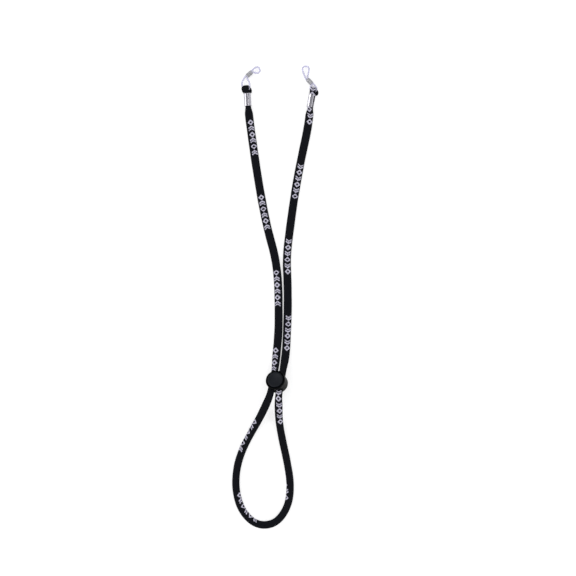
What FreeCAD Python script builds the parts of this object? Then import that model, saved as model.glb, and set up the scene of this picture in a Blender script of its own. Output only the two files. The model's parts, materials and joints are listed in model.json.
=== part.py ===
import FreeCAD, Part
import math
import os

# A sports strap for eyeglasses, lying flat on a table (millimetres).
# +Y runs from the cord's loop to the two temple ends, +X is to the right, +Z is up.
# A tubular woven cord runs from one temple end, through a spring cord lock, round
# the head loop, back through the lock and up to the other temple end.  Each end is
# folded into an eye, held by a folded metal crimp, and the eye carries a silicone
# loop whose two legs pass through a wire coil.

V = FreeCAD.Vector
UP = V(0, 0, 1)

# ---- Driving dimensions ----
CORD_D = 4.0              # girth of the 6 mm flat woven tube, as a round tube
CORD_Z = CORD_D / 2       # height of the cord's centre line on the table

CRIMP_L = 9.4
CRIMP_W = 5.2
CRIMP_H = 4.0
CRIMP_WALL = 0.4
CRIMP_SEAM = 0.3          # gap between the crimp's two flaps

EYE_W = 2.7               # width of the folded cord where the silicone passes
EYE_LAYER = 1.2           # thickness of one layer of folded cord
EYE_HOLE_R = 0.8          # half the height of the eye's opening
EYE_SEAT = 2.3            # from the crimp's mouth to the silicone's centre
EYE_UP = 0.8              # length of the opening above the silicone's centre

ROD_R = 0.65              # silicone loop's rod
LEG_OFFSET = 0.69         # from the coil's axis to each leg
NECK = 3.2               # from the coil's middle to where the legs part
NECK_BEND_R = 1.0
LOBE_R = 2.2              # lower lobe, which sits in the cord's eye

COIL_L = 4.8
COIL_BORE_R = 1.38
COIL_ROOT_R = 1.56
COIL_CREST_R = 1.75
COIL_TURNS = 12

LOCK_TILT = 27.0          # degrees between the lock's axis and the vertical
LOCK_LEAN = V(-0.55, 0.835, 0)  # way the lock's button leans, seen from above
LOCK_LINE = V(0.186, 0.983, 0)  # way the cord runs through the lock, from above
LOCK_XY = (-1.7, -111.9)  # centre of the lock's cord slot
LOCK_R = 7.3
LOCK_BASE = 6.8           # from the cord slot's centre down to the base
LOCK_RIM = 5.0            # from the cord slot's centre up to the rim
LOCK_BASE_FILLET = 2.8
LOCK_RIM_FILLET = 0.7
LOCK_FLOOR = 0.9
LOCK_BORE_R = 5.95
LOCK_MOUTH_R = 6.6        # the bore opens out to this at the rim
LOCK_MOUTH_DEPTH = 1.1
SLOT_H = 4.6
SLOT_W = 10.8
CORD_OFFSET = 3.0         # each strand's distance from the middle of the slot

BUTTON_R = 5.88
BUTTON_TOP = 5.6
BUTTON_HEAD = 1.4         # solid head above the button's cord slot
BUTTON_SLOT_W = 10.4
BUTTON_WEB = 0.8          # bar below the button's cord slot
BUTTON_EDGE = 0.6
BUTTON_DISH_R = 4.7       # shallow dish in the button's top
BUTTON_DISH = 0.3

SPRING_R = 4.2
SPRING_WIRE_R = 0.2
SPRING_TURNS = 2.0

FLOOR_GAP = 0.02          # the lock's base stands this far above z = 0

# The cord's route outside the lock: left strand, head loop, right strand.
LEFT_STRAND = [
    (-23.35, 95.6, 2.0), (-22.6, 86.5, 2.0), (-20.8, 72.5, 2.0), (-17.0, 46.0, 2.0),
    (-12.9, 21.5, 2.0), (-8.6, 0.5, 2.0), (-2.9, -20.0, 2.0), (-0.7, -38.5, 2.0),
    (-0.4, -58.0, 2.0), (-0.5, -76.0, 2.0), (-2.0, -91.8, 2.2),
]
HEAD_LOOP = [
    (-9.8, -129.0, 10.0), (-14.8, -139.5, 5.0), (-21.2, -150.8, 2.0),
    (-27.6, -163.0, 2.0), (-31.8, -177.0, 2.0), (-32.4, -193.0, 2.0),
    (-27.6, -208.6, 2.0), (-16.5, -218.9, 2.0), (-2.4, -217.5, 2.0),
    (6.8, -204.6, 2.0), (8.6, -188.5, 2.0), (5.9, -171.5, 2.0),
    (2.2, -155.0, 2.0), (-0.1, -141.5, 5.6), (-0.5, -129.8, 11.4),
]
RIGHT_STRAND = [
    (4.9, -92.0, 3.4), (5.7, -77.0, 2.0), (6.4, -58.0, 2.0), (6.2, -38.5, 2.0),
    (5.3, -20.0, 2.0), (8.2, 3.5, 2.0), (11.9, 29.5, 2.0), (16.6, 54.5, 2.0),
    (20.7, 73.0, 2.0), (22.4, 85.0, 2.0), (23.4, 94.5, 2.0),
]
LOCK_RUN = 9.0            # straight cord on each side of the slot's centre

# Each end: crimp's middle, its direction, the crimp seam's angle about that
# direction, the coil's middle and direction, and the temple lobe.
ENDS = {
    "left": {
        "crimp": V(-23.4, 96.5, CORD_Z), "along": V(-0.06, 0.998, 0), "seam": 90,
        "coil": V(-22.1, 115.4, CORD_Z), "coil_dir": V(0.755, 0.656, 0),
        "lobe": V(-16.5, 118.3, CORD_Z), "lobe_r": 2.1,
    },
    "right": {
        "crimp": V(23.6, 95.5, CORD_Z), "along": V(0.18, 0.983, 0), "seam": 35,
        "coil": V(22.5, 109.9, CORD_Z), "coil_dir": V(-0.70, 0.714, 0),
        "lobe": V(19.6, 118.8, CORD_Z), "lobe_r": 2.3,
    },
}


def unit(vector):
    return V(vector).normalize()


# ---- Shared helpers ----
def rounded_path(points, name):
    """A wire of straight runs joined by the largest tangent arcs the runs allow."""
    edges, start = [], points[0]
    for before, corner, after in zip(points, points[1:], points[2:]):
        back, ahead = before - corner, after - corner
        half_turn = (math.pi - back.getAngle(ahead)) / 2
        cut = 0.45 * min(back.Length, ahead.Length)
        radius = cut / math.tan(half_turn)
        print(name, "turn", round(math.degrees(2 * half_turn), 1), "radius", round(radius, 1))
        enter = corner + unit(back) * cut
        leave = corner + unit(ahead) * cut
        inward = unit(unit(back) + unit(ahead))
        middle = corner + inward * (radius / math.cos(half_turn) - radius)
        edges.append(Part.LineSegment(start, enter).toShape())
        edges.append(Part.Arc(enter, middle, leave).toShape())
        start = leave
    edges.append(Part.LineSegment(start, points[-1]).toShape())
    return Part.Wire(edges)


def sweep_circle(wire, start, direction, radius):
    circle = Part.Wire([Part.Circle(start, direction, radius).toShape()])
    return wire.makePipeShell([circle], True, False)


def placed(shape, origin, across, along, up):
    """Move a shape from its own axes (X across, Y along, Z up) to where it belongs."""
    result = shape.copy()
    move = FreeCAD.Placement(origin, FreeCAD.Rotation(across, along, up, "XYZ"))
    result.Placement = move.multiply(shape.Placement)
    return result


def stadium_prism(width, height, depth):
    """A slot's shape: rounded ends across X, `height` in Z, running `depth` along Y."""
    r = height / 2
    x = width / 2 - r
    y = -depth / 2
    edges = [
        Part.LineSegment(V(-x, y, -r), V(x, y, -r)).toShape(),
        Part.Arc(V(x, y, -r), V(x + r, y, 0), V(x, y, r)).toShape(),
        Part.LineSegment(V(x, y, r), V(-x, y, r)).toShape(),
        Part.Arc(V(-x, y, r), V(-x - r, y, 0), V(-x, y, -r)).toShape(),
    ]
    return Part.Face(Part.Wire(edges)).extrude(V(0, depth, 0))


def rings_at(body, height):
    """The body's circular edges at one height."""
    circles = [e for e in body.Edges if isinstance(e.Curve, Part.Circle)]
    return [e for e in circles if abs(e.Curve.Center.z - height) < 0.01]


# ---- The lock's axes ----
lean = math.sin(math.radians(LOCK_TILT))
lock_up = unit(unit(LOCK_LEAN) * lean + UP * math.cos(math.radians(LOCK_TILT)))
line = unit(LOCK_LINE)
lock_along = unit(line - UP * (line.dot(lock_up) / lock_up.z))
lock_across = lock_along.cross(lock_up)
base_height = (LOCK_R - LOCK_BASE_FILLET) * lean + LOCK_BASE_FILLET * (1 - lock_up.z)
slot_height = base_height + LOCK_BASE * lock_up.z + FLOOR_GAP
lock_centre = V(LOCK_XY[0], LOCK_XY[1], slot_height)


def lock_part(shape):
    return placed(shape, lock_centre, lock_across, lock_along, lock_up)


def slider_barrel():
    height = LOCK_BASE + LOCK_RIM
    body = Part.makeCylinder(LOCK_R, height, V(0, 0, -LOCK_BASE))
    body = body.makeFillet(LOCK_BASE_FILLET, rings_at(body, -LOCK_BASE))
    body = body.makeFillet(LOCK_RIM_FILLET, rings_at(body, LOCK_RIM))
    bore = Part.makeCylinder(LOCK_BORE_R, height, V(0, 0, -LOCK_BASE + LOCK_FLOOR))
    mouth = Part.makeCone(
        LOCK_BORE_R, LOCK_MOUTH_R, LOCK_MOUTH_DEPTH, V(0, 0, LOCK_RIM - LOCK_MOUTH_DEPTH)
    )
    slot = stadium_prism(SLOT_W, SLOT_H, 3 * LOCK_R)
    return body.cut(bore).cut(mouth).cut(slot)


def slider_button():
    slot_low = -SLOT_H / 2
    slot_high = BUTTON_TOP - BUTTON_HEAD
    bottom = slot_low - BUTTON_WEB
    body = Part.makeCylinder(BUTTON_R, BUTTON_TOP - bottom, V(0, 0, bottom))
    body = body.makeFillet(BUTTON_EDGE, rings_at(body, BUTTON_TOP))
    slot = Part.makeBox(
        BUTTON_SLOT_W, 3 * BUTTON_R, slot_high - slot_low,
        V(-BUTTON_SLOT_W / 2, -1.5 * BUTTON_R, slot_low),
    )
    ball_r = (BUTTON_DISH_R ** 2 + BUTTON_DISH ** 2) / (2 * BUTTON_DISH)
    dish = Part.makeSphere(ball_r, V(0, 0, BUTTON_TOP + ball_r - BUTTON_DISH))
    return body.cut(slot).cut(dish)


def slider_spring():
    low = -LOCK_BASE + LOCK_FLOOR + SPRING_WIRE_R + 0.02
    high = -SLOT_H / 2 - BUTTON_WEB - SPRING_WIRE_R - 0.02
    helix = Part.makeHelix((high - low) / SPRING_TURNS, high - low, SPRING_R)
    helix.translate(V(0, 0, low))
    wire = Part.Wire(helix.Edges)
    circle = Part.Wire([Part.Circle(V(SPRING_R, 0, low), V(0, 1, 0), SPRING_WIRE_R).toShape()])
    return wire.makePipeShell([circle], True, True)


# ---- Temple ends ----
def crimp(end):
    """A folded sheet sleeve, oval in section, whose two flaps meet at a seam."""
    along = unit(end["along"])
    across = along.cross(UP)
    outer = stadium_prism(CRIMP_W, CRIMP_H, CRIMP_L)
    inner = stadium_prism(CRIMP_W - 2 * CRIMP_WALL, CRIMP_H - 2 * CRIMP_WALL, 2 * CRIMP_L)
    seam = Part.makeBox(CRIMP_W, 2 * CRIMP_L, CRIMP_SEAM, V(0, -CRIMP_L, -CRIMP_SEAM / 2))
    seam.rotate(V(0, 0, 0), V(0, 1, 0), -end["seam"])
    return placed(outer.cut(inner).cut(seam), end["crimp"], across, along, UP)


def eye_seat(end):
    """Where the silicone's centre line crosses the folded cord."""
    return end["crimp"] + unit(end["along"]) * (CRIMP_L / 2 + EYE_SEAT)


def cord_eye(end):
    """The end of the cord, folded front to back around the silicone."""
    along = unit(end["along"])
    across = along.cross(UP)
    outer_r = EYE_HOLE_R + EYE_LAYER
    leg_half = CRIMP_H / 2 - CRIMP_WALL
    root = -EYE_SEAT - CRIMP_L / 2 + 0.2
    mouth = -EYE_SEAT
    x = -EYE_W / 2
    edges = [
        Part.LineSegment(V(x, root, -leg_half), V(x, mouth, -leg_half)).toShape(),
        Part.LineSegment(V(x, mouth, -leg_half), V(x, 0, -outer_r)).toShape(),
        Part.LineSegment(V(x, 0, -outer_r), V(x, EYE_UP, -outer_r)).toShape(),
        Part.Arc(V(x, EYE_UP, -outer_r), V(x, EYE_UP + outer_r, 0), V(x, EYE_UP, outer_r)).toShape(),
        Part.LineSegment(V(x, EYE_UP, outer_r), V(x, 0, outer_r)).toShape(),
        Part.LineSegment(V(x, 0, outer_r), V(x, mouth, leg_half)).toShape(),
        Part.LineSegment(V(x, mouth, leg_half), V(x, root, leg_half)).toShape(),
        Part.LineSegment(V(x, root, leg_half), V(x, root, -leg_half)).toShape(),
    ]
    fold = Part.Face(Part.Wire(edges)).extrude(V(EYE_W, 0, 0))
    low = Part.makeCylinder(EYE_HOLE_R, 2 * EYE_W, V(-EYE_W, 0, 0), V(1, 0, 0))
    high = Part.makeCylinder(EYE_HOLE_R, 2 * EYE_W, V(-EYE_W, EYE_UP, 0), V(1, 0, 0))
    between = Part.makeBox(2 * EYE_W, EYE_UP, 2 * EYE_HOLE_R, V(-EYE_W, 0, -EYE_HOLE_R))
    fold = fold.cut(low).cut(high).cut(between)
    return placed(fold, eye_seat(end), across, along, UP).cut(crimp(end))


def lobe_centre(end):
    return eye_seat(end) + unit(end["along"]) * LOBE_R


def tangent_point(centre, radius, outside, side):
    """Where the line from `outside` touches the circle, on its left (+1) or right (-1)."""
    away = outside - centre
    angle = side * math.acos(radius / away.Length)
    turned = FreeCAD.Rotation(UP, math.degrees(angle)).multVec(unit(away))
    return centre + turned * radius


def arc_about(centre, start, finish):
    """The short arc between two points at one distance from `centre`."""
    middle = centre + unit((start + finish) / 2 - centre) * (start - centre).Length
    return Part.Arc(start, middle, finish).toShape()


def silicone_loop(end):
    """A figure of eight: lower lobe in the cord's eye, upper lobe for the temple."""
    coil_dir = unit(end["coil_dir"])
    left_of = UP.cross(coil_dir)
    lobes = [
        (lobe_centre(end), LOBE_R, end["coil"] - coil_dir * NECK, -1),
        (end["lobe"], end["lobe_r"], end["coil"] + coil_dir * NECK, 1),
    ]
    halves, length = [], 0
    for centre, radius, neck, way in lobes:
        outgoing = coil_dir * -way
        runs, touch = {}, {}
        for side in (1, -1):
            corner = neck + left_of * (LEG_OFFSET * side)
            touch[side] = tangent_point(centre, radius, corner, -side * way)
            incoming = unit(touch[side] - corner)
            half_turn = (math.pi - incoming.getAngle(outgoing)) / 2
            cut = NECK_BEND_R * math.tan(half_turn)
            enter = corner + incoming * cut
            leave = corner + outgoing * cut
            middle = corner + unit(incoming + outgoing) * (
                NECK_BEND_R / math.cos(half_turn) - NECK_BEND_R)
            runs[side] = [
                Part.LineSegment(corner + outgoing * NECK, leave).toShape(),
                Part.Arc(leave, middle, enter).toShape(),
                Part.LineSegment(enter, touch[side]).toShape(),
            ]
        far = centre - unit(neck - centre) * radius
        lobe = [arc_about(centre, touch[1], far), arc_about(centre, far, touch[-1])]
        path = Part.Wire(Part.__sortEdges__(runs[1] + lobe + runs[-1]))
        start = neck + left_of * LEG_OFFSET + outgoing * NECK
        halves.append(sweep_circle(path, start, outgoing, ROD_R))
        length += path.Length
    return length, halves[0].fuse(halves[1])


def coil(end):
    """A close-wound wire coil, made as a tube with one ridge for each turn."""
    pitch = COIL_L / COIL_TURNS
    profile = [V(COIL_BORE_R, 0, 0)]
    for turn in range(COIL_TURNS):
        z = turn * pitch
        profile += [V(COIL_ROOT_R, 0, z), V(COIL_CREST_R, 0, z + 0.3 * pitch),
                    V(COIL_CREST_R, 0, z + 0.7 * pitch)]
    profile += [V(COIL_ROOT_R, 0, COIL_L), V(COIL_BORE_R, 0, COIL_L), V(COIL_BORE_R, 0, 0)]
    tube = Part.Face(Part.makePolygon(profile)).revolve(V(0, 0, 0), UP, 360)
    tube.translate(V(0, 0, -COIL_L / 2))
    axis = unit(end["coil_dir"])
    return placed(tube, end["coil"], UP, axis.cross(UP), axis)


# ---- The cord ----
def lock_point(side, along):
    return lock_centre + lock_across * (side * CORD_OFFSET) + lock_along * along


def strap_cord(crimps):
    points = [V(*p) for p in LEFT_STRAND]
    points += [lock_point(-1, LOCK_RUN), lock_point(-1, -LOCK_RUN)]
    points += [V(*p) for p in HEAD_LOOP]
    points += [lock_point(1, -LOCK_RUN), lock_point(1, LOCK_RUN)]
    points += [V(*p) for p in RIGHT_STRAND]
    path = rounded_path(points, "strap_cord")
    tube = sweep_circle(path, points[0], points[1] - points[0], CORD_D / 2)
    ideal = path.Length * math.pi * CORD_D ** 2 / 4
    print("strap_cord length", round(path.Length, 1), "volume ratio", round(tube.Volume / ideal, 4))
    return tube.cut(crimps[0]).cut(crimps[1])


# ---- Build and write every piece ----
os.makedirs("parts", exist_ok=True)
nodes = {}
for side, end in ENDS.items():
    nodes["crimp_" + side] = crimp(end)
    nodes["cord_eye_" + side] = cord_eye(end)
    rod_length, nodes["silicone_loop_" + side] = silicone_loop(end)
    print("silicone_loop", side, "rod length", round(rod_length, 2),
          "hinge at", [round(c, 3) for c in lobe_centre(end)])
    nodes["coil_" + side] = coil(end)
nodes["strap_cord"] = strap_cord([nodes["crimp_left"], nodes["crimp_right"]])
nodes["slider_barrel"] = lock_part(slider_barrel())
nodes["slider_button"] = lock_part(slider_button())
nodes["slider_spring"] = lock_part(slider_spring())

print("lock centre", lock_centre, "up", lock_up, "along", lock_along, "across", lock_across)
for name, shape in sorted(nodes.items()):
    box = shape.BoundBox
    print(name, shape.ShapeType, "solids", len(shape.Solids), "valid", shape.isValid(),
          "volume", round(shape.Volume, 2), "x", round(box.XMin, 2), round(box.XMax, 2),
          "y", round(box.YMin, 2), round(box.YMax, 2), "z", round(box.ZMin, 2), round(box.ZMax, 2))
    solid = shape.Solids[0] if len(shape.Solids) == 1 else shape
    solid.exportStep("parts/" + name + ".step")
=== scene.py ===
import json
import math

import bmesh
import bpy
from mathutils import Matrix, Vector


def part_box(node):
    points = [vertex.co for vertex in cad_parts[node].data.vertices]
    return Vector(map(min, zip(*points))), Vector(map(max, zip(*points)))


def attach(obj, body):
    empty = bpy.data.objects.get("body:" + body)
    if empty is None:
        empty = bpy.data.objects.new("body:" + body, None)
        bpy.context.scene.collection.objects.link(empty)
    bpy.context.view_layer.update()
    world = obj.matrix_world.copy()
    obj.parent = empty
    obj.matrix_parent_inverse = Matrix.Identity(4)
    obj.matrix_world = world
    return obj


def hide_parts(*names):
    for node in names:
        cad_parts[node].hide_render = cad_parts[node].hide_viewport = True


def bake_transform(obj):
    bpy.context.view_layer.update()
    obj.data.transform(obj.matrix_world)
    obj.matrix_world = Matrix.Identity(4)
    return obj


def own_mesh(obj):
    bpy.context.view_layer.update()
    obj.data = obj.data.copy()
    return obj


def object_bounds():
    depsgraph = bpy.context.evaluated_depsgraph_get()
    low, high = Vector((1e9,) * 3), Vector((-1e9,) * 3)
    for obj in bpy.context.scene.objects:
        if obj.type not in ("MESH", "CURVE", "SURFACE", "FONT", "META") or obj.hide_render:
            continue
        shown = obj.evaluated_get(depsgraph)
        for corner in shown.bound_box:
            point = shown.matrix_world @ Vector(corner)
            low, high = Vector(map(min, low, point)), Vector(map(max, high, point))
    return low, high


# A woven sports strap for eyeglasses, lying flat and seen from straight above.
# Metres throughout, in the part's own frame: +Y to the temple ends, +Z up.

MM = 0.001

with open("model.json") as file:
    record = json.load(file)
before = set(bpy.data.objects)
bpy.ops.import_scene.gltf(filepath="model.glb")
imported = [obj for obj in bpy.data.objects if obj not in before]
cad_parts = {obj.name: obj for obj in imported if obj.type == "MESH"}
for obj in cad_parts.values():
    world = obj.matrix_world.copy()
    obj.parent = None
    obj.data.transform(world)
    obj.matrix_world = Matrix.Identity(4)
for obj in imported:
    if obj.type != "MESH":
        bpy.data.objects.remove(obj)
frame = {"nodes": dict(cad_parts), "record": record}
cad_box = [list(map(float, corner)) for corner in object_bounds()]
joints = {joint["name"]: joint for joint in frame["record"]["behaviour"]["joints"]}
mounts = {mount["name"]: mount["pos_m"] for mount in frame["record"]["mounts"]}
UP = Vector((0, 0, 1))

# ---- The cord's route, the same points as the part's, in metres ----
LEFT_STRAND = [
    (-0.02335, 0.0956, 0.002), (-0.0226, 0.0865, 0.002), (-0.0208, 0.0725, 0.002),
    (-0.0170, 0.0460, 0.002), (-0.0129, 0.0215, 0.002), (-0.0086, 0.0005, 0.002),
    (-0.0029, -0.0200, 0.002), (-0.0007, -0.0385, 0.002), (-0.0004, -0.0580, 0.002),
    (-0.0005, -0.0760, 0.002), (-0.0020, -0.0918, 0.0022),
]
HEAD_LOOP = [
    (-0.0098, -0.1290, 0.0100), (-0.0148, -0.1395, 0.005), (-0.0212, -0.1508, 0.002),
    (-0.0276, -0.1630, 0.002), (-0.0318, -0.1770, 0.002), (-0.0324, -0.1930, 0.002),
    (-0.0276, -0.2086, 0.002), (-0.0165, -0.2189, 0.002), (-0.0024, -0.2175, 0.002),
    (0.0068, -0.2046, 0.002), (0.0086, -0.1885, 0.002), (0.0059, -0.1715, 0.002),
    (0.0022, -0.1550, 0.002), (-0.0001, -0.1415, 0.0056), (-0.0005, -0.1298, 0.0114),
]
RIGHT_STRAND = [
    (0.0049, -0.0920, 0.0034), (0.0057, -0.0770, 0.002), (0.0064, -0.0580, 0.002),
    (0.0062, -0.0385, 0.002), (0.0053, -0.0200, 0.002), (0.0082, 0.0035, 0.002),
    (0.0119, 0.0295, 0.002), (0.0166, 0.0545, 0.002), (0.0207, 0.0730, 0.002),
    (0.0224, 0.0850, 0.002), (0.0234, 0.0945, 0.002),
]
CORD_Z = 0.002            # height of the route on the table
CORD_OFFSET = 3.0 * MM    # each strand's distance from the middle of the lock's slot
LOCK_RUN = 9.0 * MM       # straight cord on each side of the slot's centre
LOCK_LINE = Vector((0.186, 0.983, 0)).normalized()     # way the cord runs through the lock
LOCK_XY = (-1.7 * MM, -111.9 * MM)                     # centre of the lock's cord slot
LOCK_R, LOCK_BASE, BASE_FILLET = 7.3 * MM, 6.8 * MM, 2.8 * MM

# ---- The cord's section: on the strands, in the head loop, in the lock, at the crimps ----
FLAT_W, FLAT_T = 6.0 * MM, 2.1 * MM
LOOP_W, LOOP_T = 5.5 * MM, 3.0 * MM
LOCK_W, LOCK_T = 5.2 * MM, 2.7 * MM
CRIMP_MOUTH_W, CRIMP_MOUTH_T = 4.2 * MM, 3.0 * MM
RING_STEP = 0.5 * MM
RING_POINTS = 48
LOCK_NEAR, LOCK_FAR = 8 * MM, 20 * MM      # the section eases between these distances
CRIMP_NEAR, CRIMP_EASE = 4 * MM, 6 * MM    # and over this length behind each crimp
LOOP_NEAR, LOOP_EASE = 6 * MM, 35 * MM     # and over this length below the lock

# ---- The woven motif, in millimetres along and around the cord ----
MOTIF_START = 14.5
MOTIF_PERIOD = 57.1
MOTIF_TOKENS = 6
TOKEN_PITCH = 4.55
TOKEN_HALF_HEIGHT = 2.3
STITCH_W = 0.42
STITCH_L = 0.40

# ---- Temple ends ----
CRIMP_L = 9.4 * MM
EYE_SEAT = 2.3 * MM
ROD_R = 0.65 * MM
LEG_OFFSET = 0.69 * MM
LEG_STRAIGHT, LEG_PARTS = 2.4, 3.2     # millimetres from the coil's middle
FOLD_T = 1.15 * MM        # thickness of one layer of folded cord
FOLD_POINTS = 40
CRIMP_HALF_W, CRIMP_HALF_H, CRIMP_WALL = 2.6 * MM, 2.0 * MM, 0.36 * MM
CRIMP_ROWS, CRIMP_COLUMNS = 40, 72
FLAP_CURL = 0.30 * MM     # how far the flaps turn in at the seam
DENT = 0.28 * MM
MOUTH_LIP = 0.10 * MM     # how far the sleeve flares at its two mouths
COIL_TURNS = 12
COIL_LENGTH = 4.8 * MM
COIL_RADIUS = 1.57 * MM
COIL_WIRE = 0.19 * MM
SPRING_LOW, SPRING_HIGH = -5.68 * MM, -3.32 * MM   # from the slot's centre, up the lock
SPRING_RADIUS = 4.2 * MM
SPRING_WIRE = 0.2 * MM
SPRING_TURNS = 2
# The temple lobe, as (toward its tip, sideways) in shares of its radius.
LOBE_SHAPE = [(-0.6, -1.0), (0.5, -1.08), (1.0, -0.55), (1.0, 0.55), (0.5, 1.08), (-0.6, 1.0)]
# Millimetres, unless noted.  along: the crimp's direction.  seam: the seam's angle, degrees.
# gap: the seam's width at each mouth.  inside, front, back: sideways shift and width of the
# cord in the crimp and of the eye's two layers.  dents: share of the length and angle in
# radians.  motif_from: metres along the weave at the fold's start.  lobe_r: temple lobe.
# lower: the rod's line in the cord's eye, sideways and along from its seat.
ENDS = {
    "left": {
        "along": Vector((-0.06, 0.998, 0)).normalized(), "seam": 90.0, "gap": (0.30, 0.24),
        "inside": (0.0, 3.9), "front": (-1.35, 5.4), "back": (1.1, 5.0),
        "dents": ((0.32, -0.5), (0.68, 2.2)), "motif_from": -0.05, "lobe_r": 2.1,
        "lower": [(-3.0, 7.0), (-3.9, 4.2), (-1.8, 0.0), (1.5, 0.0), (2.3, 3.6), (1.8, 6.6)],
    },
    "right": {
        "along": Vector((0.18, 0.983, 0)).normalized(), "seam": 35.0, "gap": (1.3, 1.9),
        "inside": (0.25, 4.3), "front": (-0.2, 4.3), "back": (1.7, 5.4),
        "dents": ((0.55, 3.3), (0.25, 2.6)), "motif_from": 0.0115, "lobe_r": 2.3,
        "lower": [(-2.4, 3.4), (-2.2, 1.2), (-1.2, 0.0), (1.2, 0.0), (2.4, 1.4), (2.0, 3.8)],
    },
}


def centre_of(node):
    low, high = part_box(node)
    return (Vector(low) + Vector(high)) / 2


def smooth(value):
    value = min(1.0, max(0.0, value))
    return value * value * (3 - 2 * value)


def blend_table(position, table):
    """Ease between (position, value) rows."""
    for (p0, v0), (p1, v1) in zip(table, table[1:]):
        if position <= p1:
            return v0 + (v1 - v0) * smooth((position - p0) / (p1 - p0))
    return table[-1][1]


# ---- Mesh helpers ----
def mesh_object(name, verts, faces):
    mesh = bpy.data.meshes.new(name)
    mesh.from_pydata([tuple(v) for v in verts], [], faces)
    mesh.update()
    mesh.polygons.foreach_set("use_smooth", [True] * len(mesh.polygons))
    obj = bpy.data.objects.new(name, mesh)
    bpy.context.scene.collection.objects.link(obj)
    return obj


def close_normals(obj):
    work = bmesh.new()
    work.from_mesh(obj.data)
    bmesh.ops.recalc_face_normals(work, faces=work.faces)
    work.to_mesh(obj.data)
    work.free()


def curve_points(points, closed=False, resolution=12):
    """Points along the smooth NURBS line that has `points` as its control polygon."""
    data = bpy.data.curves.new("route", "CURVE")
    data.dimensions = "3D"
    data.resolution_u = resolution
    spline = data.splines.new("NURBS")
    spline.points.add(len(points) - 1)
    for slot, point in zip(spline.points, points):
        slot.co = (*point, 1.0)
    spline.use_cyclic_u = closed
    spline.order_u = 3
    spline.use_endpoint_u = not closed
    holder = bpy.data.objects.new("route", data)
    mesh = bpy.data.meshes.new_from_object(holder)
    line = [v.co.copy() for v in mesh.vertices]
    bpy.data.objects.remove(holder)
    bpy.data.curves.remove(data)
    bpy.data.meshes.remove(mesh)
    return line


def evenly(line, step):
    """The line's points again, one every `step` metres, with their distances."""
    reach = [0.0]
    for a, b in zip(line, line[1:]):
        reach.append(reach[-1] + (b - a).length)
    count = max(2, round(reach[-1] / step))
    result, seek = [], 0
    for i in range(count + 1):
        want = reach[-1] * i / count
        while seek < len(reach) - 2 and reach[seek + 1] < want:
            seek += 1
        span = reach[seek + 1] - reach[seek]
        part = (want - reach[seek]) / span if span > 0 else 0.0
        result.append(line[seek].lerp(line[seek + 1], part))
    return result, [reach[-1] * i / count for i in range(count + 1)]


def tangents(line):
    last = len(line) - 1
    return [(line[min(i + 1, last)] - line[max(i - 1, 0)]).normalized() for i in range(last + 1)]


def flat_ring(width, thickness, count):
    """A flat tube's section, as (across, up) pairs, starting at the top."""
    ring = []
    for i in range(count):
        turn = 2 * math.pi * i / count
        x, y = math.sin(turn), math.cos(turn)
        ring.append((
            math.copysign(abs(x) ** 0.80, x) * width / 2,
            math.copysign(abs(y) ** 0.72, y) * thickness / 2,
        ))
    return ring


def add_weave_uv(obj, rings, count, around, along, shifts):
    """UV in millimetres: u round the tube from the motif's middle, v along it."""
    layer = obj.data.uv_layers.new(name="weave")
    for face in obj.data.polygons:
        first = None
        for corner in face.loop_indices:
            ring, k = divmod(obj.data.loops[corner].vertex_index, count)
            girth = around[ring][-1]
            u = (around[ring][k] - shifts[ring] + girth / 2) % girth - girth / 2
            if first is None:
                first = u
            u += girth * round((first - u) / girth)
            layer.data[corner].uv = (u * 1000, along[ring] * 1000)


def tube(name, line, sides, ups, sections, count, shifts, along):
    """A closed tube through `line`, one flat ring at each point."""
    verts, around = [], []
    for point, side, up, (width, thickness) in zip(line, sides, ups, sections):
        ring = flat_ring(width, thickness, count)
        verts += [point + side * x + up * y for x, y in ring]
        lengths = [0.0]
        for (x0, y0), (x1, y1) in zip(ring, ring[1:] + ring[:1]):
            lengths.append(lengths[-1] + math.hypot(x1 - x0, y1 - y0))
        around.append(lengths)
    rings = len(line)
    faces = []
    for i in range(rings - 1):
        for k in range(count):
            n = (k + 1) % count
            faces.append((i * count + k, i * count + n, (i + 1) * count + n, (i + 1) * count + k))
    faces.append(tuple(range(count)))
    faces.append(tuple(reversed(range((rings - 1) * count, rings * count))))
    obj = mesh_object(name, verts, faces)
    add_weave_uv(obj, rings, count, around, along, shifts)
    close_normals(obj)
    return obj


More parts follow.
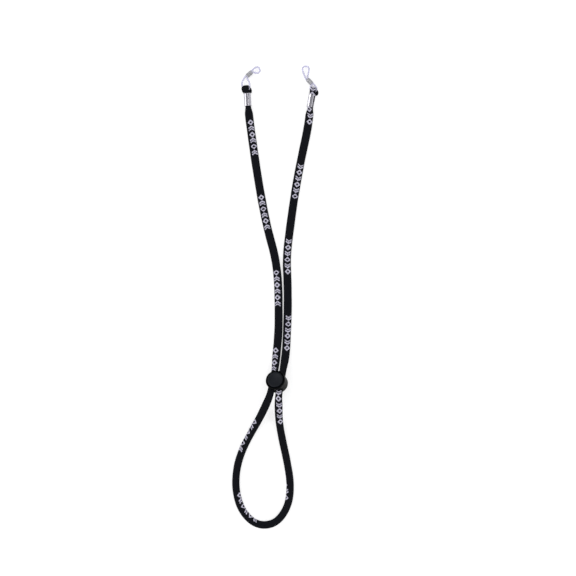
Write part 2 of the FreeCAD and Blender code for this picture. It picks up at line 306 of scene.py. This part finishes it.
# ---- Node helpers ----
class Nodes:
    """A short way to write a material's node tree."""

    def __init__(self, name):
        self.material = bpy.data.materials.new(name)
        self.material.use_nodes = True
        self.tree = self.material.node_tree
        self.shader = self.tree.nodes["Principled BSDF"]

    def add(self, kind, **settings):
        node = self.tree.nodes.new(kind)
        for key, value in settings.items():
            setattr(node, key, value)
        return node

    def put(self, socket, value):
        if hasattr(value, "is_output"):
            self.tree.links.new(value, socket)
        else:
            socket.default_value = value

    def math(self, operation, a, b=0.0, c=0.0):
        node = self.add("ShaderNodeMath", operation=operation)
        for socket, value in zip(node.inputs, (a, b, c)):
            self.put(socket, value)
        return node.outputs[0]

    def ramp(self, value, low, high, out_low=0.0, out_high=1.0):
        node = self.add("ShaderNodeMapRange", interpolation_type="SMOOTHSTEP")
        for socket, given in zip(node.inputs, (value, low, high, out_low, out_high)):
            self.put(socket, given)
        return node.outputs[0]

    def mix(self, factor, a, b):
        node = self.add("ShaderNodeMix", data_type="RGBA")
        self.put(node.inputs[0], factor)
        self.put(node.inputs[6], a)
        self.put(node.inputs[7], b)
        return node.outputs[2]

    def noise(self, scale, detail=3.0, vector=None):
        node = self.add("ShaderNodeTexNoise")
        node.inputs["Scale"].default_value = scale
        node.inputs["Detail"].default_value = detail
        self.put(node.inputs["Vector"], vector or self.object_coordinates())
        return node.outputs["Fac"]

    def object_coordinates(self):
        return self.add("ShaderNodeTexCoord").outputs["Object"]

    def bump(self, height, distance, strength=1.0):
        node = self.add("ShaderNodeBump")
        node.inputs["Distance"].default_value = distance
        node.inputs["Strength"].default_value = strength
        self.put(node.inputs["Height"], height)
        self.put(self.shader.inputs["Normal"], node.outputs[0])

    def set(self, **values):
        names = {"color": "Base Color", "roughness": "Roughness", "metallic": "Metallic",
                 "ior": "IOR", "transmission": "Transmission Weight",
                 "specular": "Specular IOR Level"}
        for key, value in values.items():
            self.put(self.shader.inputs[names[key]], value)


# ---- Materials ----
def woven_cord():
    """Black knitted tube with a pale motif of chevrons and hollow diamonds."""
    n = Nodes("woven_cord")
    uv = n.add("ShaderNodeUVMap", uv_map="weave").outputs[0]
    split = n.add("ShaderNodeSeparateXYZ")
    n.put(split.inputs[0], uv)
    around, along = split.outputs[0], split.outputs[1]

    # Stitches: columns along the cord, each a row of slanted loops that lean two ways.
    column = n.math("DIVIDE", around, STITCH_W)
    across = n.math("FRACT", column)
    from_middle = n.math("ABSOLUTE", n.math("SUBTRACT", across, 0.5))
    row = n.math("ADD", n.math("DIVIDE", along, STITCH_L), n.math("MULTIPLY", from_middle, 0.9))
    loop = n.math("ABSOLUTE", n.math("SUBTRACT", n.math("FRACT", row), 0.5))
    rib = n.ramp(from_middle, 0.5, 0.12)
    height = n.math("MULTIPLY", rib, n.ramp(loop, 0.5, 0.18, 0.35, 1.0))

    # The motif, drawn in whole stitches.
    a = n.math("MULTIPLY", n.math("ADD", n.math("FLOOR", column), 0.5), STITCH_W)
    a = n.math("ABSOLUTE", a)
    s = n.math("MULTIPLY", n.math("ADD", n.math("FLOOR", row), 0.5), STITCH_L)
    start = n.math("SUBTRACT", s, MOTIF_START)
    place = n.math("FLOORED_MODULO", start, MOTIF_PERIOD)
    token = n.math("DIVIDE", place, TOKEN_PITCH)
    t = n.math("MULTIPLY", n.math("SUBTRACT", n.math("FRACT", token), 0.5), TOKEN_PITCH)
    inside = n.math("LESS_THAN", token, float(MOTIF_TOKENS))
    inside = n.math("MULTIPLY", inside, n.math("LESS_THAN", a, TOKEN_HALF_HEIGHT))
    inside = n.math("MULTIPLY", inside, n.math("GREATER_THAN", start, 0.0))
    reach = n.math("ADD", n.math("DIVIDE", n.math("ABSOLUTE", t), 2.1),
                   n.math("DIVIDE", a, TOKEN_HALF_HEIGHT))
    diamond = n.math("MULTIPLY", n.math("LESS_THAN", reach, 1.02),
                     n.math("GREATER_THAN", reach, 0.48))
    slope = n.math("SUBTRACT", n.math("ADD", t, 1.45), n.math("MULTIPLY", a, 0.62))
    chevron = n.math("LESS_THAN", n.math("ABSOLUTE", slope), 0.52)
    second = n.math("LESS_THAN", n.math("ABSOLUTE", n.math("SUBTRACT", slope, 1.6)), 0.42)
    chevron = n.math("MAXIMUM", chevron, second)
    odd = n.math("FLOORED_MODULO", n.math("FLOOR", token), 2.0)
    drawn = n.mix(odd, diamond, chevron)
    motif = n.math("MULTIPLY", inside, drawn)

    # Yarn: dark with lengthwise streaks, lighter on the raised loops as painted highlight; the pale
    # yarn a little uneven, and darker between the stitches as painted shade.
    stretch = n.add("ShaderNodeCombineXYZ")
    n.put(stretch.inputs[0], n.math("MULTIPLY", around, 2.2))
    n.put(stretch.inputs[1], n.math("MULTIPLY", along, 0.12))
    streak = n.noise(1.0, 4.0, stretch.outputs[0])
    dark = n.mix(streak, (0.0012, 0.0013, 0.0022, 1), (0.0060, 0.0066, 0.0100, 1))
    # Painted highlight: the dark yarn is lighter where the loops stand highest.
    dark = n.mix(n.math("MULTIPLY", height, 0.5), dark, (0.0085, 0.0092, 0.0135, 1))
    pale = n.mix(streak, (0.60, 0.58, 0.72, 1), (0.94, 0.92, 1.0, 1))
    # Painted shade: the pale yarn is darkened in the hollows between the stitches.
    pale = n.mix(height, (0.34, 0.33, 0.44, 1), pale)
    n.set(color=n.mix(motif, dark, pale), specular=0.08)
    n.set(roughness=n.ramp(height, 0.0, 1.0, 0.85, 0.68))
    raised = n.math("ADD", height, n.math("MULTIPLY", motif, 0.5))
    n.bump(raised, 0.16 * MM, 0.9)
    return n.material


def bright_metal(name, tint, roughness, scale):
    n = Nodes(name)
    marks = n.noise(scale, 5.0)
    n.set(color=n.mix(marks, tuple(0.86 * c for c in tint) + (1,), tint + (1,)), metallic=1.0)
    n.set(roughness=n.ramp(marks, 0.35, 0.7, roughness * 0.6, roughness * 1.6))
    n.bump(marks, 0.02 * MM, 0.5)
    return n.material


def clear_silicone():
    n = Nodes("clear_silicone")
    haze = n.noise(900.0, 3.0)
    n.set(color=n.mix(haze, (0.60, 0.59, 0.76, 1), (0.72, 0.71, 0.86, 1)), ior=1.41)
    n.set(transmission=0.55, roughness=n.ramp(haze, 0.3, 0.7, 0.12, 0.25))
    n.bump(haze, 0.01 * MM, 0.4)
    return n.material


def moulded_plastic(name, low, high, grain, gloss):
    """Black moulded plastic: fine spark texture, scuffed a little lighter in places."""
    n = Nodes(name)
    fine = n.noise(grain, 4.0)
    wide = n.noise(260.0, 3.0)
    n.set(color=n.mix(wide, low, high), specular=gloss)
    n.set(roughness=n.ramp(fine, 0.3, 0.7, 0.30, 0.46))
    n.bump(fine, 0.03 * MM, 0.35)
    return n.material


def spring_steel():
    return bright_metal("spring_steel", (0.55, 0.55, 0.56), 0.3, 900.0)


# ---- The lock's axes, from its button's joint ----
lock_up = -Vector(joints["button_press"]["axis"]).normalized()
lock_along = (LOCK_LINE - UP * (LOCK_LINE.dot(lock_up) / lock_up.z)).normalized()
lock_across = lock_along.cross(lock_up)
lock_lean = math.hypot(lock_up.x, lock_up.y)
lock_centre = Vector((*LOCK_XY, (LOCK_R - BASE_FILLET) * lock_lean + BASE_FILLET * (1 - lock_up.z)
                      + LOCK_BASE * lock_up.z))


def lock_point(side, along):
    return lock_centre + lock_across * (side * CORD_OFFSET) + lock_along * along


# ---- The cord ----
def cord_route():
    points = [Vector(p) for p in LEFT_STRAND]
    points += [lock_point(-1, LOCK_RUN), lock_point(-1, -LOCK_RUN)]
    points += [Vector(p) for p in HEAD_LOOP]
    points += [lock_point(1, -LOCK_RUN), lock_point(1, LOCK_RUN)]
    points += [Vector(p) for p in RIGHT_STRAND]
    return evenly(curve_points(points), RING_STEP)


# How far round the tube the motif has rolled, as (share of the cord, millimetres).
ROLL = [
    (0.00, -0.55), (0.05, -0.55), (0.13, 0.10), (0.21, 0.75), (0.31, 0.95), (0.355, 1.8),
    (0.385, 2.9), (0.42, 1.6), (0.455, -2.2), (0.49, -2.9), (0.55, -2.9), (0.575, -5.2),
    (0.595, -10.2), (0.625, -13.3), (0.70, -13.4), (0.76, -13.2), (0.86, -13.7), (1.00, -13.1),
]

# How far the motif has slipped along the cord, in the same form.
SLIP = [(0.00, 0.5), (0.06, 0.8), (0.13, 2.0), (0.45, 0.0), (0.60, -6.5), (0.80, -5.0), (1.00, -3.2)]


def nearness(point, centre, inner, outer):
    """1 within `inner` of a place, easing to 0 at `outer`."""
    return 1 - smooth(((point - centre).length - inner) / (outer - inner))


def make_cord():
    line, reach = cord_route()
    total = reach[-1]
    heading = tangents(line)
    sides, ups, sections, shifts, middles = [], [], [], [], []
    for point, forward, distance in zip(line, heading, reach):
        from_end = min(distance, total - distance)
        at_lock = nearness(point, lock_centre, LOCK_NEAR, LOCK_FAR)
        at_end = 1 - smooth((from_end - CRIMP_NEAR) / CRIMP_EASE)
        in_loop = smooth((lock_centre.y - point.y - LOOP_NEAR) / LOOP_EASE)
        up = UP.lerp(lock_up, at_lock)
        side = forward.cross(up).normalized()
        up = side.cross(forward).normalized()
        width = FLAT_W + (LOOP_W - FLAT_W) * in_loop
        thickness = FLAT_T + (LOOP_T - FLAT_T) * in_loop
        wave = math.sin(distance * 190) + 0.7 * math.sin(distance * 431 + 1.3)
        width += wave * 0.05 * MM
        thickness -= wave * 0.04 * MM
        width += (LOCK_W - width) * at_lock
        thickness += (LOCK_T - thickness) * at_lock
        width += (CRIMP_MOUTH_W - width) * at_end
        thickness += (CRIMP_MOUTH_T - thickness) * at_end
        rest = (1 - at_lock) * (1 - at_end)
        sections.append((width, thickness))
        shifts.append(blend_table(distance / total, ROLL) * MM)
        middles.append(point - UP * ((CORD_Z - thickness / 2) * rest))
        sides.append(side)
        ups.append(up)
    marks = [r + blend_table(r / total, SLIP) * MM for r in reach]
    obj = tube("cord_woven", middles, sides, ups, sections, RING_POINTS, shifts, marks)
    return obj, line


# ---- Temple ends ----
def end_axes(side):
    along = ENDS[side]["along"]
    return along.cross(UP), along, UP


def make_eye(side):
    """The cord's end, folded front to back: wide flat layers and a bunched fold."""
    across, along, up = end_axes(side)
    seat = centre_of("crimp_" + side) + along * (CRIMP_L / 2 + EYE_SEAT)
    front_shift, front_w = ENDS[side]["front"]
    back_shift, back_w = ENDS[side]["back"]
    in_shift, in_w = ENDS[side]["inside"]
    # (along, up, sideways, width), millimetres from the silicone's seat.
    stations = [
        (-7.5, 0.75, in_shift, in_w), (-2.9, 0.75, in_shift, in_w),
        (-1.6, 1.15, front_shift * 0.6, front_w),
        (0.3, 1.42, front_shift, front_w), (2.2, 1.38, front_shift * 0.95, front_w),
        (3.0, 1.0, front_shift * 0.6, front_w * 0.8), (3.15, 0.0, 0.0, 3.0),
        (2.9, -0.85, back_shift * 0.35, 3.1), (1.7, -1.35, back_shift * 0.8, back_w * 0.8),
        (0.2, -1.42, back_shift, back_w), (-1.9, -1.2, back_shift * 0.85, back_w),
        (-2.9, -0.75, 0.0, 3.9), (-7.5, -0.75, 0.0, 3.9),
    ]
    places = [Vector((y, z, 0)) * MM for y, z, _, _ in stations]
    extras = [Vector((x, w, 0)) * MM for _, _, x, w in stations]
    spine = curve_points(places, resolution=10)
    spread = curve_points(extras, resolution=10)
    line, sides, ups, sections, reach = [], [], [], [], [0.0]
    heading = tangents(spine)
    for point, (x, width, _), forward in zip(spine, spread, heading):
        line.append(seat + along * point.x + up * point.y + across * x)
        sides.append(across)
        ups.append((up * forward.x - along * forward.y).normalized())
        sections.append((width, FOLD_T))
    for a, b in zip(line, line[1:]):
        reach.append(reach[-1] + (b - a).length)
    shifts = [0.0] * len(line)
    marks = [distance + ENDS[side]["motif_from"] for distance in reach]
    return tube("cord_fold_" + side, line, sides, ups, sections, FOLD_POINTS, shifts, marks)


def make_crimp(side):
    """A sheet wrapped round the cord: two flaps meet at the seam and are pressed in."""
    across, along, up = end_axes(side)
    middle = centre_of("crimp_" + side)
    seam = math.radians(ENDS[side]["seam"])
    gap_low, gap_high = ENDS[side]["gap"]
    rows, columns = CRIMP_ROWS, CRIMP_COLUMNS

    def surface(i, k, inset):
        v = i / rows
        gap = (gap_low + (gap_high - gap_low) * v) * MM / CRIMP_HALF_W
        turn = seam + gap / 2 + (2 * math.pi - gap) * k / columns
        flap = min(k, columns - k) / columns
        curl = math.exp(-flap * 26) * FLAP_CURL
        press = sum(
            math.exp(-((v - place) / 0.09) ** 2 - ((k / columns * 6.28 - angle) / 0.5) ** 2)
            for place, angle in ENDS[side]["dents"]
        ) * DENT
        lip = MOUTH_LIP * (math.exp(-v * 22) + math.exp(-(1 - v) * 22))
        x = math.copysign(abs(math.cos(turn)) ** 0.82, math.cos(turn))
        z = math.copysign(abs(math.sin(turn)) ** 0.82, math.sin(turn))
        shrink = inset + curl + press - lip
        return (middle + along * ((v - 0.5) * CRIMP_L) + across * (x * (CRIMP_HALF_W - shrink))
                + up * (z * (CRIMP_HALF_H - shrink * 0.85)))

    verts, faces = [], []
    stride = columns + 1
    for inset in (0.0, CRIMP_WALL):
        for i in range(rows + 1):
            verts += [surface(i, k, inset) for k in range(stride)]
    layer = (rows + 1) * stride
    for i in range(rows):
        for k in range(columns):
            a = i * stride + k
            faces.append((a, a + 1, a + 1 + stride, a + stride))
            faces.append(tuple(layer + v for v in (a, a + stride, a + 1 + stride, a + 1)))
    for i in range(rows):
        for k in (0, columns):
            a = i * stride + k
            faces.append((a, a + stride, layer + a + stride, layer + a))
    for k in range(columns):
        for i in (0, rows):
            a = i * stride + k
            faces.append((a, a + 1, layer + a + 1, layer + a))
    obj = mesh_object("crimp_sheet_" + side, verts, faces)
    close_normals(obj)
    bevel = obj.modifiers.new("edges", "BEVEL")
    bevel.width = 0.07 * MM
    bevel.segments = 2
    bevel.limit_method = "ANGLE"
    return obj


def wound_wire(name, middle, axis, radius, wire, turns, length):
    """A round wire wound on a cylinder, with closed ends."""
    across = axis.orthogonal().normalized()
    other = axis.cross(across)
    steps = turns * 40
    count = 10
    verts, faces = [], []
    for i in range(steps + 1):
        turn = 2 * math.pi * turns * i / steps
        out = across * math.cos(turn) + other * math.sin(turn)
        spot = middle + axis * (length * (i / steps - 0.5)) + out * radius
        for k in range(count):
            around = 2 * math.pi * k / count
            verts.append(spot + (out * math.cos(around) + axis * math.sin(around)) * wire)
    for i in range(steps):
        for k in range(count):
            n = (k + 1) % count
            a, b = i * count, (i + 1) * count
            faces.append((a + k, a + n, b + n, b + k))
    faces.append(tuple(range(count)))
    faces.append(tuple(range(steps * count, (steps + 1) * count)))
    obj = mesh_object(name, verts, faces)
    close_normals(obj)
    return obj


def make_coil(side):
    axis = Vector(joints["coil_%s_slide" % side]["axis"]).normalized()
    return wound_wire("coil_wire_" + side, centre_of("coil_" + side), axis, COIL_RADIUS,
                      COIL_WIRE, COIL_TURNS, COIL_LENGTH - 2 * COIL_WIRE)


def make_spring():
    middle = lock_centre + lock_up * ((SPRING_LOW + SPRING_HIGH) / 2)
    return wound_wire("spring_wire", middle, lock_up, SPRING_RADIUS, SPRING_WIRE, SPRING_TURNS,
                      SPRING_HIGH - SPRING_LOW)


def loop_tube(name, line, radius, count):
    """A round rod that closes on itself, lying in a level plane."""
    total = len(line)
    verts, faces = [], []
    for i, point in enumerate(line):
        forward = (line[(i + 1) % total] - line[i - 1]).normalized()
        side = forward.cross(UP).normalized()
        for k in range(count):
            turn = 2 * math.pi * k / count
            verts.append(point + (side * math.cos(turn) + UP * math.sin(turn)) * radius)
    for i in range(total):
        j = (i + 1) % total
        for k in range(count):
            n = (k + 1) % count
            faces.append((i * count + k, i * count + n, j * count + n, j * count + k))
    obj = mesh_object(name, verts, faces)
    close_normals(obj)
    return obj


def make_silicone(side):
    """Rod bent to a figure of eight: one lobe in the cord's eye, one for the temple."""
    across, along, _ = end_axes(side)
    seat = centre_of("crimp_" + side) + along * (CRIMP_L / 2 + EYE_SEAT)
    coil = centre_of("coil_" + side)
    temple = Vector(mounts["temple_loop_" + side])
    axis = Vector(joints["coil_%s_slide" % side]["axis"]).normalized()
    if axis.dot(temple - coil) < 0:
        axis = -axis
    left = UP.cross(axis)

    def leg(which, distance):
        return coil + left * (which * LEG_OFFSET) + axis * (distance * MM)

    to_temple = (temple - leg(0, LEG_PARTS)).normalized()
    aside = UP.cross(to_temple)
    radius = ENDS[side]["lobe_r"] * MM
    route = [leg(1, LEG_STRAIGHT), leg(1, -LEG_STRAIGHT), leg(1, -LEG_PARTS)]
    route += [seat + (across * x + along * y) * MM for x, y in ENDS[side]["lower"]]
    route += [leg(-1, -LEG_PARTS), leg(-1, -LEG_STRAIGHT), leg(-1, LEG_STRAIGHT), leg(-1, LEG_PARTS)]
    route += [temple + (to_temple * x + aside * y) * radius for x, y in LOBE_SHAPE]
    route += [leg(1, LEG_PARTS)]
    line = curve_points(route, closed=True, resolution=12)
    line, _ = evenly(line + [line[0]], 0.25 * MM)
    return loop_tube("silicone_rod_" + side, line[:-1], ROD_R, 16)


# ---- Put the pieces on their bodies ----
def finish_piece(obj, body, material, slot, *nodes):
    """Material, body, slot (not used) and the nodes it replaces; with no body the piece stays
    unattached.
    """
    obj.data.materials.clear()
    obj.data.materials.append(material)
    if body:
        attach(obj, body)
    if nodes:
        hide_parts(*nodes)


def paint(node, material):
    """Give a CAD piece whose shape is right a better material."""
    obj = frame["nodes"][node]
    for place in obj.material_slots:
        place.material = material
    if not obj.material_slots:
        obj.data.materials.append(material)


cord_material = woven_cord()
crimp_metal = bright_metal("crimp_nickel", (0.52, 0.51, 0.56), 0.22, 1400.0)
coil_metal = bright_metal("coil_steel", (0.50, 0.50, 0.52), 0.18, 1800.0)
silicone = clear_silicone()

cord, cord_line = make_cord()
finish_piece(cord, None, cord_material, "woven_cord", "strap_cord")
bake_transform(cord)

for side in ENDS:
    finish_piece(make_eye(side), "strap", cord_material, "woven_cord", "cord_eye_" + side)
    finish_piece(make_crimp(side), "strap", crimp_metal, "crimp_nickel", "crimp_" + side)
    finish_piece(make_coil(side), "coil_" + side, coil_metal, "coil_steel", "coil_" + side)
    finish_piece(make_silicone(side), "loop_" + side, silicone, "clear_silicone",
                 "silicone_loop_" + side)

paint("slider_barrel", moulded_plastic(
    "barrel_plastic", (0.0006, 0.0008, 0.0010, 1), (0.0018, 0.0022, 0.0028, 1), 5000.0, 0.045))
paint("slider_button", moulded_plastic(
    "button_plastic", (0.0030, 0.0040, 0.0066, 1), (0.0062, 0.0078, 0.0118, 1), 6500.0, 0.10))
spring = make_spring()
finish_piece(spring, "slider_barrel", spring_steel(), "spring_steel", "slider_spring")
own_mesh(spring)


# ---- Floor, light and camera ----
FLOOR_SIZE = 6.0
FLOOR_Z = -0.2 * MM       # just below the crimps' flared mouths
VIEW_WIDTH = 0.4262
AIM_OFFSET = Vector((9.5, 6.4, 0)) * MM


def add_floor():
    bpy.ops.mesh.primitive_plane_add(size=FLOOR_SIZE, location=(0, 0, FLOOR_Z))
    floor = bpy.context.object
    floor.name = "floor"
    n = Nodes("floor_white")
    n.set(color=n.mix(n.noise(30.0), (0.515, 0.515, 0.52, 1), (0.525, 0.525, 0.525, 1)))
    n.set(roughness=0.9, specular=0.0)
    n.shader.inputs["Emission Color"].default_value = (1, 1, 1, 1)
    n.shader.inputs["Emission Strength"].default_value = 0.60
    floor.data.materials.append(n.material)


def add_area(name, place, target, size, power):
    data = bpy.data.lights.new(name, "AREA")
    data.shape = "DISK"
    data.size = size
    data.energy = power
    light = bpy.data.objects.new(name, data)
    light.location = place
    light.rotation_euler = (Vector(target) - Vector(place)).to_track_quat("-Z", "Y").to_euler()
    bpy.context.scene.collection.objects.link(light)


def add_world():
    """A white tent that is darker near the floor and straight overhead."""
    world = bpy.data.worlds.new("studio")
    world.use_nodes = True
    bpy.context.scene.world = world
    tree = world.node_tree
    background = tree.nodes["Background"]
    where = tree.nodes.new("ShaderNodeTexCoord")
    split = tree.nodes.new("ShaderNodeSeparateXYZ")
    ramp = tree.nodes.new("ShaderNodeValToRGB")
    stops = [(0.0, 0.10), (0.22, 0.35), (0.45, 1.0), (0.80, 1.0), (0.92, 0.45), (1.0, 0.40)]
    while len(ramp.color_ramp.elements) < len(stops):
        ramp.color_ramp.elements.new(0.5)
    for element, (position, level) in zip(ramp.color_ramp.elements, stops):
        element.position = position
        element.color = (level, level, level * 1.01, 1)
    tree.links.new(where.outputs["Generated"], split.inputs[0])
    tree.links.new(split.outputs[2], ramp.inputs[0])
    tree.links.new(ramp.outputs[0], background.inputs[0])
    background.inputs[1].default_value = 1.15


def add_camera():
    """Straight above, with the strap's long side up the picture."""
    low, high = (Vector(corner) for corner in cad_box)
    data = bpy.data.cameras.new("camera")
    data.lens = 85
    data.sensor_width = 36
    data.clip_end = 20
    camera = bpy.data.objects.new("camera", data)
    aim = (low + high) / 2 + AIM_OFFSET
    camera.location = (aim.x, aim.y, CORD_Z + VIEW_WIDTH * data.lens / data.sensor_width)
    bpy.context.scene.collection.objects.link(camera)
    bpy.context.scene.camera = camera


add_floor()
add_world()
add_area("key", (-0.8, 0.35, 0.8), (0, -0.04, 0), 0.5, 3.0)
add_area("fill", (0.9, -0.5, 0.9), (0, -0.04, 0), 0.8, 3.0)
add_camera()
bpy.context.scene.view_settings.view_transform = "Standard"
